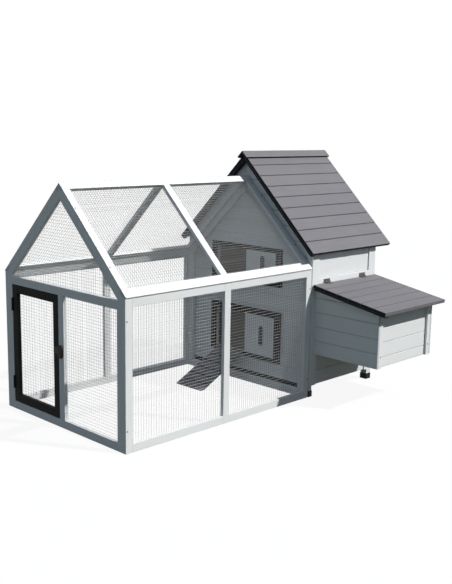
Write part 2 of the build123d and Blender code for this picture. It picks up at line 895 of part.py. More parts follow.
with BuildPart() as lid_boards:
    with BuildSketch(lid_plane):
        for low, high in rows(-lid_length, -lid_start, lid_board, lid_board):
            bar(lid_left, lid_right, low, high)
    extrude(amount=-lid_t)
    lid_normal = Axis((0, 0, 0), (0, -sin(lid_slope), cos(lid_slope)))
    lid_edges = lid_boards.edges().filter_by(Axis.X).group_by(lid_normal)[-1]
    chamfer(lid_edges.sort_by(Axis.Y)[1:], board_bevel)

with BuildPart() as lid_battens:
    with BuildSketch(lid_plane.offset(-lid_t)):
        for left, stop in ((lid_left, 0), (lid_right - batten_w, lid_batten_stop)):
            bar(left, left + batten_w, stop - lid_length, -batten_inset)
    extrude(amount=-batten_t)

lid_axis_y = near_y - barrel_r - barrel_clear
lid_axis_z = lid_z(lid_axis_y, -barrel_r - barrel_clear)
plate_far = barrel_r + barrel_clear
plate_near = plate_far - leaf_t
lid_hinge_x = [lid_left + lid_hinge_inset, lid_right - lid_hinge_inset]
lid_wall_planes = [
    Plane(origin=(x, lid_axis_y, lid_axis_z), x_dir=(0, 0, 1), z_dir=(1, 0, 0)) for x in lid_hinge_x
]
lid_lid_planes = [
    Plane(
        origin=(x, lid_axis_y, lid_axis_z),
        x_dir=(0, -cos(lid_slope), -sin(lid_slope)),
        z_dir=(1, 0, 0),
    )
    for x in lid_hinge_x
]

lid_wall_parts = [
    hinge_leaf(plane, hinge_length, lid_leaf_reach, -plate_far, -plate_near, True)
    for plane in lid_wall_planes
]
lid_lid_parts = [
    hinge_leaf(plane, hinge_length, leaf_reach, plate_near, plate_far, False)
    for plane in lid_lid_planes
]

with BuildPart() as lid_hinge_wall_leaves:
    add(lid_wall_parts)

with BuildPart() as lid_hinge_lid_leaves:
    add(lid_lid_parts)

# Ramp from the ground to the lower pop hole, hinged on the sill
ramp_end = face_x - ramp_clear
ramp_foot = ramp_end - ramp_run
ramp_mid = (pop_holes[0][0] + pop_holes[0][1]) / 2 - ramp_shift
ramp_slope = atan2(ramp_top - ramp_tip, ramp_run)
ramp_depth = ramp_t / cos(ramp_slope)
ramp_profile = [
    (ramp_foot, 0),
    (ramp_foot + (ramp_depth - ramp_tip) / tan(ramp_slope), 0),
    (ramp_end, ramp_top - ramp_depth),
    (ramp_end, ramp_top),
    (ramp_foot, ramp_tip),
]

with BuildPart() as ramp_board:
    with BuildSketch(side_plane(ramp_mid + ramp_w / 2)):
        Polygon(*ramp_profile, align=None)
    extrude(amount=ramp_w)

ramp_plane = Plane(
    origin=(ramp_foot, ramp_mid, ramp_tip),
    x_dir=(cos(ramp_slope), 0, sin(ramp_slope)),
    z_dir=(-sin(ramp_slope), 0, cos(ramp_slope)),
)
ramp_length = hypot(ramp_run, ramp_top - ramp_tip)
cleat_pitch = (ramp_length - leaf_reach) / (cleat_count + 1)

with BuildPart() as ramp_cleats:
    with BuildSketch(ramp_plane):
        for i in range(cleat_count):
            with Locations(((i + 1) * cleat_pitch, 0)):
                Rectangle(cleat_w, ramp_w - 2 * cleat_margin)
    extrude(amount=cleat_t)

ramp_axis_x = face_x - barrel_r - barrel_clear
ramp_axis_z = ramp_top + (ramp_axis_x - ramp_end) * tan(ramp_slope) + plate_far / cos(ramp_slope)
ramp_hinge_y = [ramp_mid - ramp_w / 4, ramp_mid + ramp_w / 4]
ramp_wall_planes = [
    Plane(origin=(ramp_axis_x, y, ramp_axis_z), x_dir=(0, 0, -1), z_dir=(0, 1, 0))
    for y in ramp_hinge_y
]
ramp_ramp_planes = [
    Plane(
        origin=(ramp_axis_x, y, ramp_axis_z),
        x_dir=(-cos(ramp_slope), 0, -sin(ramp_slope)),
        z_dir=(0, 1, 0),
    )
    for y in ramp_hinge_y
]
ramp_wall_parts = [
    hinge_leaf(plane, hinge_length, leaf_reach, -plate_far, -plate_near, True)
    for plane in ramp_wall_planes
]
ramp_ramp_parts = [
    hinge_leaf(plane, hinge_length, leaf_reach, -plate_far, -plate_near, False)
    for plane in ramp_ramp_planes
]

with BuildPart() as ramp_hinge_sill_leaves:
    add(ramp_wall_parts)

with BuildPart() as ramp_hinge_ramp_leaves:
    add(ramp_ramp_parts)

# Hinge pins of the door, the lid and the ramp
pin_parts = [hinge_pin(plane, door_hinge_length) for plane in door_planes]
pin_parts += [hinge_pin(plane, hinge_length) for plane in lid_wall_planes + ramp_wall_planes]

with BuildPart() as hinge_pins:
    add(pin_parts)

# Screw heads on the long sides, the roof rafters and the nest box
screw_x = [front_x + screw_inset, rear_x - screw_inset]

with BuildPart() as near_screws:
    with BuildSketch(side_plane(near_y)):
        for x in screw_x:
            for z in (screw_end, side_top - screw_end):
                with Locations((x, z)):
                    Circle(screw_r)
    extrude(amount=screw_t)
    with BuildSketch(run_roof):
        for x in screw_x:
            for s in (roof_screw_low, ridge_rail_s - roof_screw_high):
                with Locations((x, s)):
                    Circle(screw_r)
    extrude(amount=screw_t)

with BuildPart() as frame_screws:
    add(near_screws.part)
    mirror(near_screws.part, about=middle)
    with BuildSketch(side_plane(nest_front)):
        for x in (post_left + nest_post_end / 2, post_right - nest_post_end / 2):
            for z in (nest_bottom + nest_screw_end, front_top - nest_screw_end):
                with Locations((x, z)):
                    Circle(screw_r)
    extrude(amount=screw_t)

pieces = {
    "run_front_frame": run_front_frame,
    "run_front_mesh": run_front_mesh,
    "run_gable_mesh": run_gable_mesh,
    "run_rear_frame": run_rear_frame,
    "run_near_frame": run_near_frame,
    "run_near_mesh_front": run_near_meshes[0],
    "run_near_mesh_rear": run_near_meshes[1],
    "run_far_frame": run_far_frame,
    "run_far_mesh_front": far_meshes[0],
    "run_far_mesh_rear": far_meshes[1],
    "run_near_roof_frame": run_near_roof_frame,
    "run_near_roof_mesh_front": run_near_roof_meshes[0],
    "run_near_roof_mesh_rear": run_near_roof_meshes[1],
    "run_far_roof_frame": run_far_roof_frame,
    "run_far_roof_mesh_front": far_meshes[2],
    "run_far_roof_mesh_rear": far_meshes[3],
    "run_door_frame": run_door_frame,
    "run_door_mesh": run_door_mesh,
    "door_hinge_post_leaves": door_hinge_post_leaves,
    "door_hinge_door_leaves": door_hinge_door_leaves,
    "latch_base": latch_base,
    "latch_button": latch_button,
    "latch_keeper": latch_keeper,
    "house_posts": house_posts,
    "foot_caps": foot_caps,
    "joining_strips": joining_strips,
    "house_rails": house_rails,
    "house_skirt": house_skirt,
    "house_floor": house_floor,
    "house_front_boards": house_front_boards,
    "house_back_boards": house_back_boards,
    "house_near_boards": house_near_boards,
    "house_far_boards": house_far_boards,
    "house_rafters": house_rafters,
    "roof_near_boards": roof_near_boards,
    "roof_far_boards": roof_far_boards,
    "roof_ridge_caps": roof_ridge_caps,
    "roof_battens": roof_battens,
    "perches": perches,
    "lower_door_frame": slide_frames["lower"],
    "upper_door_frame": slide_frames["upper"],
    "door_tracks": door_tracks,
    "lower_door_panel": slide_panels["lower"],
    "upper_door_panel": slide_panels["upper"],
    "lower_door_pull": slide_pulls["lower"],
    "upper_door_pull": slide_pulls["upper"],
    "nest_boards": nest_boards,
    "nest_posts": nest_posts,
    "nest_floor": nest_floor,
    "nest_divider": nest_divider,
    "lid_boards": lid_boards,
    "lid_battens": lid_battens,
    "lid_hinge_wall_leaves": lid_hinge_wall_leaves,
    "lid_hinge_lid_leaves": lid_hinge_lid_leaves,
    "ramp_board": ramp_board,
    "ramp_cleats": ramp_cleats,
    "ramp_hinge_sill_leaves": ramp_hinge_sill_leaves,
    "ramp_hinge_ramp_leaves": ramp_hinge_ramp_leaves,
    "hinge_pins": hinge_pins,
    "frame_screws": frame_screws,
}

os.makedirs("parts", exist_ok=True)
for label, piece in pieces.items():
    piece.part.label = label
    export_step(piece.part, f"parts/{label}.step")

# Joint points for the record
print("door axis", door_axis_x, door_axis_y, sum(door_hinge_z) / 2)
print("latch axis", front_x - button_start, latch_y, latch_z)
print("lid axis", house_mid, lid_axis_y, lid_axis_z)
print("ramp axis", ramp_axis_x, ramp_mid, ramp_axis_z)
print("slide travel", slide_travel)
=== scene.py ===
import json
import math
import random

import bmesh
import bpy
from mathutils import Matrix, Vector


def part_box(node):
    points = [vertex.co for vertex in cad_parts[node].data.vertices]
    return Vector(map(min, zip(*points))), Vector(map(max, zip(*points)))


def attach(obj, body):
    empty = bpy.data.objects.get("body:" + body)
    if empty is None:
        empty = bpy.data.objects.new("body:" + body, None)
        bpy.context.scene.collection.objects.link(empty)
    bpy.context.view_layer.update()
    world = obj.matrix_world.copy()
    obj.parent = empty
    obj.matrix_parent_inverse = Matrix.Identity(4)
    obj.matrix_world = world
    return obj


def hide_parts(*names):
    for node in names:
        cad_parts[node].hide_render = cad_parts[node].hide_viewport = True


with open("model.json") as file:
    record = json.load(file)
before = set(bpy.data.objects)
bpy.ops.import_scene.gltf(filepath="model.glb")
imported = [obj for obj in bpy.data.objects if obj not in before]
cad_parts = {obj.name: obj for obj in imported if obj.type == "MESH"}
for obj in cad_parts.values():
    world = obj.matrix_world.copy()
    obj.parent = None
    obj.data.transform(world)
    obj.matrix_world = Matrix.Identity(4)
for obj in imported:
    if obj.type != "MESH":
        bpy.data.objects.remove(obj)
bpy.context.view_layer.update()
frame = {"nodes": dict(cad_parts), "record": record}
cadNodes = frame["nodes"]
bodies = frame["record"]["behaviour"]["bodies"]
bodyOf = {node: body for body, members in bodies.items() for node in members}
slotOf = {part["node"]: part["material_slot"] for part in frame["record"]["subparts"]}
squareOn = 0.9  # cosine from which a face counts as looking along an axis
print("frame loaded:", len(cadNodes), "nodes")


# small helpers for shader and geometry trees
def setInput(tree, socket, value):
    if hasattr(value, "is_output"):
        tree.links.new(value, socket)
    else:
        socket.default_value = value


def addNode(tree, kind, inputs=None, **settings):
    node = tree.nodes.new(kind)
    for key, value in settings.items():
        setattr(node, key, value)
    for key, value in (inputs or {}).items():
        setInput(tree, node.inputs[key], value)
    return node


def mathNode(tree, operation, first, second=0.0):
    return addNode(tree, "ShaderNodeMath", {0: first, 1: second}, operation=operation).outputs[0]


def vectorOf(tree, parts):
    return addNode(tree, "ShaderNodeCombineXYZ", parts).outputs[0]


def newMaterial(name):
    material = bpy.data.materials.new(name)
    material.use_nodes = True
    tree = material.node_tree
    tree.nodes.clear()
    shader = addNode(tree, "ShaderNodeBsdfPrincipled")
    output = addNode(tree, "ShaderNodeOutputMaterial")
    tree.links.new(shader.outputs[0], output.inputs["Surface"])
    return material, tree, shader


def attribute(tree, name):
    return addNode(tree, "ShaderNodeAttribute", attribute_name=name).outputs


def stretched(tree, vector, scale):
    return addNode(tree, "ShaderNodeMapping", {"Vector": vector, "Scale": scale}).outputs[0]


def noise(tree, vector, scale, detail, rough):
    settings = {"Vector": vector, "Scale": scale, "Detail": detail, "Roughness": rough}
    return addNode(tree, "ShaderNodeTexNoise", settings).outputs["Fac"]


def remap(tree, value, given, wanted):
    low, high = given
    toLow, toHigh = wanted
    settings = {"Value": value, "From Min": low, "From Max": high, "To Min": toLow, "To Max": toHigh}
    return addNode(tree, "ShaderNodeMapRange", settings).outputs["Result"]


def mixColour(tree, factor, first, second):
    node = addNode(tree, "ShaderNodeMix", data_type="RGBA")
    for key, value in (("Factor", factor), ("A", first), ("B", second)):
        socket = [s for s in node.inputs if s.name == key and s.enabled][0]
        setInput(tree, socket, value)
    return [s for s in node.outputs if s.enabled][0]


def tinted(tree, colour, pattern, spread, depth, tint):
    return mixColour(tree, remap(tree, pattern, spread, (0.0, depth)), colour, tint)


def roughAndBump(tree, shader, roughness, height, bump, depth):
    tree.links.new(roughness, shader.inputs["Roughness"])
    bumped = addNode(tree, "ShaderNodeBump", {"Height": height, "Strength": bump, "Distance": depth})
    tree.links.new(bumped.outputs[0], shader.inputs["Normal"])


def grey(value):
    return (value, value, value, 1.0)


# painted and bare timber: grain runs along each stick, on the coordinates that softTimber stores
timberPattern = {  # a noise is its detail and roughness, a range is the span of it that shows
    "fibreNoise": (5.0, 0.62), "fibreRange": (0.35, 0.72),
    "figureNoise": (2.0, 0.5), "figureRange": (0.45, 0.7),
    "soilScale": 4.0, "soilNoise": (3.0, 0.6), "soilRange": (0.45, 0.75),
    "chipScale": 190.0, "chipNoise": (4.0, 0.65), "chipRange": (0.56, 0.66), "chipDepth": 0.5,
    "knotScale": (5, 11, 11), "knotRange": (0.05, 0.16),
    "endRange": (0.3, 0.7), "endGloss": 0.25,
    "roughRange": (0.3, 0.75), "smoother": 0.06, "rougher": 0.1, "bumpDepth": 0.0012,
}


def timberMaterial(look, part):
    material, tree, shader = newMaterial(look["name"] + part.capitalize())
    grainAt = attribute(tree, "grainCoord")["Vector"]
    tone = attribute(tree, "boardTone")["Fac"]
    place = addNode(tree, "ShaderNodeTexCoord").outputs["Object"]
    fibres = noise(tree, stretched(tree, grainAt, look["fibreScale"]), 1.0, *timberPattern["fibreNoise"])
    figure = noise(tree, stretched(tree, grainAt, look["figureScale"]), 1.0, *timberPattern["figureNoise"])
    soil = noise(tree, place, timberPattern["soilScale"], *timberPattern["soilNoise"])
    knotAt = stretched(tree, grainAt, timberPattern["knotScale"])
    cells = addNode(tree, "ShaderNodeTexVoronoi", {"Vector": knotAt, "Scale": 1.0}).outputs["Distance"]
    knots = remap(tree, cells, timberPattern["knotRange"], (look["knotDepth"], 0.0))

    grain = look["grainColour"]
    colour = tinted(tree, look["colour"], fibres, timberPattern["fibreRange"], look["grainDepth"], grain)
    colour = tinted(tree, colour, figure, timberPattern["figureRange"], look["figureDepth"], grain)
    colour = mixColour(tree, knots, colour, look["knotColour"])
    colour = tinted(tree, colour, tone, (0.0, 1.0), look["boardDepth"], look["tintColour"])
    colour = tinted(tree, colour, soil, timberPattern["soilRange"], look["soilDepth"], look["soilColour"])
    gloss = look["gloss"]
    if part == "edge":  # rubbed and chipped paint on the eased edges, with dirt and painted shade in the board joints
        chips = noise(tree, place, timberPattern["chipScale"], *timberPattern["chipNoise"])
        chipDepth = timberPattern["chipDepth"]
        colour = mixColour(tree, look["edgeDirtAndShade"], colour, look["endColour"])
        colour = tinted(tree, colour, chips, timberPattern["chipRange"], chipDepth, look["wornColour"])
    if part == "end":  # sawn ends drink the paint; on roof boards this near-black paint is also painted shade underneath and on the gable sides
        soaked = remap(tree, fibres, timberPattern["endRange"], (look["endDepth"], 1.0))
        colour = mixColour(tree, soaked, colour, look["endColour"])
        gloss *= timberPattern["endGloss"]
    tree.links.new(colour, shader.inputs["Base Color"])
    shader.inputs["Specular IOR Level"].default_value = gloss
    spread = (look["rough"] - timberPattern["smoother"], look["rough"] + timberPattern["rougher"])
    roughness = remap(tree, fibres, timberPattern["roughRange"], spread)
    roughAndBump(tree, shader, roughness, fibres, look["bump"], timberPattern["bumpDepth"])
    return material


paintLooks = {
    "white_timber": {
        "name": "whitePaint",
        "colour": (0.80, 0.81, 0.815, 1), "grainColour": (0.70, 0.715, 0.73, 1),
        "tintColour": (0.76, 0.775, 0.785, 1), "soilColour": (0.62, 0.61, 0.58, 1),
        "wornColour": (0.55, 0.50, 0.42, 1), "endColour": (0.66, 0.67, 0.67, 1),
        "knotColour": (0.66, 0.63, 0.55, 1), "knotDepth": 0.25, "endDepth": 0.3, "edgeDirtAndShade": 0.0,
        "fibreScale": (7, 260, 260), "figureScale": (1.6, 34, 34),
        "grainDepth": 0.35, "figureDepth": 0.25, "boardDepth": 0.5, "soilDepth": 0.10,
        "rough": 0.52, "bump": 0.12, "gloss": 0.35,
    },
    "wall_timber": {
        "name": "wallPaint",
        "colour": (0.80, 0.81, 0.815, 1), "grainColour": (0.69, 0.70, 0.715, 1),
        "tintColour": (0.75, 0.765, 0.775, 1), "soilColour": (0.62, 0.61, 0.58, 1),
        "wornColour": (0.50, 0.46, 0.40, 1), "endColour": (0.46, 0.47, 0.475, 1),
        "knotColour": (0.66, 0.63, 0.55, 1), "knotDepth": 0.25, "endDepth": 0.3, "edgeDirtAndShade": 0.55,
        "fibreScale": (6, 220, 220), "figureScale": (1.2, 26, 26),
        "grainDepth": 0.40, "figureDepth": 0.30, "boardDepth": 0.6, "soilDepth": 0.12,
        "rough": 0.55, "bump": 0.15, "gloss": 0.32,
    },
    "roof_timber": {
        "name": "roofPaint",
        "colour": (0.182, 0.178, 0.193, 1), "grainColour": (0.140, 0.137, 0.149, 1),
        "tintColour": (0.168, 0.164, 0.178, 1), "soilColour": (0.23, 0.222, 0.222, 1),
        # the near-black end colour is partly end grain, partly painted shade on the undersides, gable sides
        # and board joints
        "wornColour": (0.26, 0.25, 0.24, 1), "endColour": (0.016, 0.016, 0.018, 1),
        "knotColour": (0.13, 0.125, 0.13, 1), "knotDepth": 0.3, "endDepth": 0.88, "edgeDirtAndShade": 0.7,
        "fibreScale": (9, 300, 300), "figureScale": (1.5, 30, 30),
        "grainDepth": 0.55, "figureDepth": 0.4, "boardDepth": 0.8, "soilDepth": 0.18,
        "rough": 0.66, "bump": 0.3, "gloss": 0.2,
    },
    "black_timber": {
        "name": "blackPaint",
        "colour": (0.0055, 0.0065, 0.0065, 1), "grainColour": (0.010, 0.0115, 0.0115, 1),
        "tintColour": (0.007, 0.008, 0.008, 1), "soilColour": (0.014, 0.014, 0.0125, 1),
        "wornColour": (0.07, 0.055, 0.04, 1), "endColour": (0.006, 0.006, 0.006, 1),
        "knotColour": (0.012, 0.012, 0.012, 1), "knotDepth": 0.2, "endDepth": 0.4, "edgeDirtAndShade": 0.0,
        "fibreScale": (8, 260, 260), "figureScale": (1.5, 30, 30),
        "grainDepth": 0.5, "figureDepth": 0.3, "boardDepth": 0.5, "soilDepth": 0.25,
        "rough": 0.58, "bump": 0.15, "gloss": 0.05,
    },
    "plain_timber": {
        "name": "planedPine",
        # pine darker than fresh timber, as painted shade for the dim inside of the house
        "colour": (0.34, 0.24, 0.15, 1), "grainColour": (0.24, 0.155, 0.085, 1),
        "tintColour": (0.29, 0.205, 0.125, 1), "soilColour": (0.20, 0.155, 0.11, 1),
        "wornColour": (0.40, 0.31, 0.21, 1), "endColour": (0.25, 0.175, 0.10, 1),
        "knotColour": (0.24, 0.12, 0.05, 1), "knotDepth": 0.8, "endDepth": 0.4, "edgeDirtAndShade": 0.0,
        "fibreScale": (8, 240, 240), "figureScale": (1.4, 40, 40),
        "grainDepth": 0.55, "figureDepth": 0.8, "boardDepth": 0.8, "soilDepth": 0.2,
        "rough": 0.62, "bump": 0.25, "gloss": 0.3,
    },
}
timberFinish = {}
for slotName, look in paintLooks.items():
    timberFinish[slotName] = [timberMaterial(look, part) for part in ("face", "edge", "end")]
print("timber materials:", sum(len(finish) for finish in timberFinish.values()))


# metal and plastic: fine mottling, uneven sheen and a little dirt
mouldedPattern = {
    "fineNoise": (4.0, 0.6), "fineRange": (0.4, 0.7),
    "broadScale": 22.0, "broadNoise": (3.0, 0.55), "soilRange": (0.52, 0.75),
    "roughRange": (0.3, 0.7), "smoother": 0.08, "rougher": 0.1, "bumpDepth": 0.0006,
}


def mouldedMaterial(look):
    material, tree, shader = newMaterial(look["name"])
    place = addNode(tree, "ShaderNodeTexCoord").outputs["Object"]
    fine = noise(tree, place, look["fineScale"], *mouldedPattern["fineNoise"])
    broad = noise(tree, place, mouldedPattern["broadScale"], *mouldedPattern["broadNoise"])
    colour = tinted(tree, look["colour"], fine, mouldedPattern["fineRange"], look["mottle"], look["second"])
    colour = tinted(tree, colour, broad, mouldedPattern["soilRange"], look["soil"], look["soilColour"])
    if "shadedWireColour" in look:  # painted shade on the zinc, as much as each wire stores
        colour = mixColour(tree, attribute(tree, "wireShade")["Fac"], colour, look["shadedWireColour"])
    tree.links.new(colour, shader.inputs["Base Color"])
    shader.inputs["Metallic"].default_value = look["metal"]
    shader.inputs["Specular IOR Level"].default_value = look["gloss"]
    spread = (look["rough"] - mouldedPattern["smoother"], look["rough"] + mouldedPattern["rougher"])
    roughness = remap(tree, broad, mouldedPattern["roughRange"], spread)
    roughAndBump(tree, shader, roughness, fine, look["bump"], mouldedPattern["bumpDepth"])
    return material


mouldedLooks = {
    "mesh_wire": {
        "name": "zincWire", "colour": (0.85, 0.855, 0.86, 1), "second": (0.79, 0.795, 0.80, 1),
        # the darker colour is painted shade, mixed in as much as each wire stores
        "shadedWireColour": (0.25, 0.254, 0.258, 1),
        "soilColour": (0.45, 0.44, 0.42, 1), "fineScale": 90.0, "mottle": 0.7, "soil": 0.25,
        "rough": 0.5, "bump": 0.1, "metal": 0.6, "gloss": 0.3,
    },
    "black_plastic": {
        "name": "blackPlastic", "colour": (0.008, 0.008, 0.009, 1), "second": (0.013, 0.013, 0.014, 1),
        "soilColour": (0.03, 0.029, 0.027, 1), "fineScale": 420.0, "mottle": 0.6, "soil": 0.2,
        "rough": 0.52, "bump": 0.15, "metal": 0.0, "gloss": 0.12,
    },
    "black_steel": {
        "name": "blackCoat", "colour": (0.008, 0.008, 0.009, 1), "second": (0.014, 0.014, 0.015, 1),
        "soilColour": (0.03, 0.027, 0.024, 1), "fineScale": 300.0, "mottle": 0.6, "soil": 0.25,
        "rough": 0.45, "bump": 0.2, "metal": 0.0, "gloss": 0.15,
    },
    "zinc_steel": {
        "name": "zincPlate", "colour": (0.13, 0.128, 0.122, 1), "second": (0.085, 0.083, 0.080, 1),
        "soilColour": (0.07, 0.06, 0.05, 1), "fineScale": 160.0, "mottle": 0.8, "soil": 0.4,
        "rough": 0.42, "bump": 0.12, "metal": 0.6, "gloss": 0.4,
    },
}
mouldedFinish = {slotName: mouldedMaterial(look) for slotName, look in mouldedLooks.items()}
print("metal and plastic materials:", len(mouldedFinish))


# reading the frame's solids, and linking a new piece
plainMesh = {"merge": 1e-5, "flatAngle": 0.01}


def plainCopy(node):
    bm = bmesh.new()
    bm.from_mesh(cadNodes[node].data)
    bmesh.ops.remove_doubles(bm, verts=bm.verts, dist=plainMesh["merge"])
    bmesh.ops.dissolve_limit(bm, angle_limit=plainMesh["flatAngle"], verts=bm.verts, edges=bm.edges)
    return bm


def islandsOf(bm):
    seen = set()
    groups = []
    for first in bm.verts:
        if first in seen:
            continue
        group = []  # one connected stick, board or plate
        stack = [first]
        seen.add(first)
        while stack:
            vert = stack.pop()
            group.append(vert)
            for edge in vert.link_edges:
                other = edge.other_vert(vert)
                if other not in seen:
                    seen.add(other)
                    stack.append(other)
        groups.append(group)
    return groups


def oneEach(items):
    return list(dict.fromkeys(items))  # in order, so that every run picks the same edge or face


def facesOf(group):
    return oneEach(f for v in group for f in v.link_faces)


def linkPiece(name, mesh, body, replaced):
    piece = bpy.data.objects.new(name, mesh)
    bpy.context.scene.collection.objects.link(piece)
    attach(piece, body)
    if replaced:
        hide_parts(*replaced)


# every stick and board: eased edges, and grain coordinates along its own length
timberShape = {
    "ease": 0.0011, "easeSteps": 2, "easeProfile": 0.6, "sharpAngle": 0.3,
    "longFace": 0.5,  # a face along the stick has less than this cosine to its length
    "downward": -0.3,  # a roof board's underside looks lower than this
    "grainShift": 20.0, "seed": 7,
    "bareShadedInside": {  # inner wall faces take the dark bare pine, painted shade for the dim inside: node and the way its bare face looks
        "house_front_boards": (1, 0, 0), "house_back_boards": (-1, 0, 0),
        "house_near_boards": (0, 1, 0), "house_far_boards": (0, -1, 0),
    },
}
facePaint, edgePaint, endAndShadePaint, bareShadedTimber = range(4)  # material slots of a timber mesh


def easeEdges(bm):
    sharpAngle = timberShape["sharpAngle"]
    sharp = [e for e in bm.edges if len(e.link_faces) == 2 and e.calc_face_angle(0.0) > sharpAngle]
    bmesh.ops.bevel(
        bm, geom=sharp, offset=timberShape["ease"], offset_type="OFFSET",
        segments=timberShape["easeSteps"], profile=timberShape["easeProfile"],
        affect="EDGES", clamp_overlap=True, material=edgePaint,
    )


def boardAxes(group):
    edges = oneEach(e for v in group for e in v.link_edges)
    longest = max(edges, key=lambda e: e.calc_length())
    along = (longest.verts[1].co - longest.verts[0].co).normalized()
    flat = [f for f in facesOf(group) if abs(f.normal.dot(along)) < timberShape["longFace"]]
    outward = max(flat, key=lambda f: f.calc_area()).normal.copy()
    return along, along.cross(outward).normalized(), outward


def paintFaces(group, along, roofBoard, inward):
    for face in facesOf(group):
        normal = face.normal
        below = normal.z < timberShape["downward"]
        # painted shade: roof boards take the near-black end paint underneath and on their gable-facing
        # sides
        dark = roofBoard and (below or abs(normal.x) > squareOn)  # underneath and at the gables
        if face.material_index == facePaint and (dark or abs(normal.dot(along)) > squareOn):
            face.material_index = endAndShadePaint
        # painted shade: the inner faces of the walls take the dark bare pine
        if normal.dot(inward) > squareOn:
            face.material_index = bareShadedTimber


def softTimber(node, dice):
    slotName = slotOf[node]
    inward = Vector(timberShape["bareShadedInside"].get(node, (0, 0, 0)))
    bm = plainCopy(node)
    for face in bm.faces:
        face.material_index = facePaint
    easeEdges(bm)
    grainLayer = bm.verts.layers.float_vector.new("grainCoord")
    toneLayer = bm.verts.layers.float.new("boardTone")
    for group in islandsOf(bm):
        axes = boardAxes(group)
        shift = Vector([dice.uniform(0, timberShape["grainShift"]) for axis in axes])
        tone = dice.random()
        paintFaces(group, axes[0], slotName == "roof_timber", inward)
        for vert in group:
            vert[grainLayer] = Vector([vert.co.dot(axis) for axis in axes]) + shift
            vert[toneLayer] = tone
    for face in bm.faces:
        face.smooth = face.material_index == edgePaint
    mesh = bpy.data.meshes.new(node + "Timber")
    bm.to_mesh(mesh)
    bm.free()
    for material in [*timberFinish[slotName], timberFinish["plain_timber"][facePaint]]:
        mesh.materials.append(material)
    linkPiece(node + "_timber", mesh, bodyOf[node], [node])


timberNodes = [node for node in cadNodes if slotOf[node] in paintLooks]
timberDice = random.Random(timberShape["seed"])
for node in timberNodes:
    softTimber(node, timberDice)
print("timber pieces:", len(timberNodes))

# metal and plastic nodes keep their solids and take their finish
for node, obj in cadNodes.items():
    if slotOf[node] in mouldedFinish:
        obj.data.materials.clear()
        obj.data.materials.append(mouldedFinish[slotOf[node]])


# a geometry tree with named sizes and a finish, and its result as a plain mesh
def newTree(name, seed, sizes, result):
    tree = bpy.data.node_groups.new(name, "GeometryNodeTree")
    sockets = tree.interface
    sockets.new_socket(seed, in_out="INPUT", socket_type="NodeSocketGeometry")
    for size in sizes:
        sockets.new_socket(size, in_out="INPUT", socket_type="NodeSocketFloat")
    sockets.new_socket("Finish", in_out="INPUT", socket_type="NodeSocketMaterial")
    sockets.new_socket(result, in_out="OUTPUT", socket_type="NodeSocketGeometry")
    return tree, addNode(tree, "NodeGroupInput").outputs


def endTree(tree, shapes, finish):
    real = addNode(tree, "GeometryNodeRealizeInstances", {0: shapes})
    done = addNode(tree, "GeometryNodeSetMaterial", {"Geometry": real.outputs[0], "Material": finish})
    output = addNode(tree, "NodeGroupOutput")
    tree.links.new(done.outputs[0], output.inputs[0])


def movedBlock(tree, size, offset):
    block = addNode(tree, "GeometryNodeMeshCube", {"Size": size})
    settings = {"Geometry": block.outputs[0], "Translation": vectorOf(tree, offset)}
    return addNode(tree, "GeometryNodeTransform", settings).outputs[0]


def treeMesh(tree, name, values, seedMesh):
    holder = bpy.data.objects.new(name + "Holder", seedMesh)
    bpy.context.scene.collection.objects.link(holder)
    modifier = holder.modifiers.new("nodes", "NODES")
    modifier.node_group = tree
    for item in tree.interface.items_tree:
        if item.in_out == "INPUT" and item.name in values:
            modifier[item.identifier] = values[item.name]
    depsgraph = bpy.context.evaluated_depsgraph_get()
    mesh = bpy.data.meshes.new_from_object(holder.evaluated_get(depsgraph))
    mesh.name = name
    holder.modifiers.remove(modifier)
    bpy.data.objects.remove(holder)
    return mesh


# welded wire: two layers of straight wires over each net's own plane, stapled round its border
wireMesh = {
    "pitchAcross": 0.0175, "pitchUp": 0.0175, "wire": 0.0012, "weld": 0.32, "sides": 6,
    "slopeLap": 0.001, "noSlope": 1e6,  # a net with no slope over it cuts no wire short
    "stapleEvery": 0.065, "stapleCrown": 0.010, "stapleWire": 0.0011, "stapleLeg": 0.00205,
    "crownDepth": 0.0012, "legDepth": -0.00005,
    "stapleInset": 0.007, "gableFoot": 3.2, "gablePeak": 1.5,  # the last two are in staple insets
    # staples take a fixed share of the wires' painted shade
    "roofTilt": 0.3, "stapleShade": 0.6,
    # painted shade: on each side of the run one wire layer is darkened as if it caught no sun
    "paintedShadeUpright": {"front": 0.0, "side": 1.0, "roof": 1.0},  # painted shade of the upright wires on each side of the run
    "paintedShadeLying": {"front": 1.0, "side": 0.0, "roof": 0.3},
}
runHub = (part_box("run_near_frame")[0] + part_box("run_far_frame")[1]) / 2  # middle of the run


# stores each wire's share of painted shade
def withPaintedShade(tree, instances, amount):
    settings = {"Geometry": instances.outputs[0], "Name": "wireShade", "Value": amount}
    node = addNode(tree, "GeometryNodeStoreNamedAttribute", settings, data_type="FLOAT", domain="INSTANCE")
    return node.outputs[0]


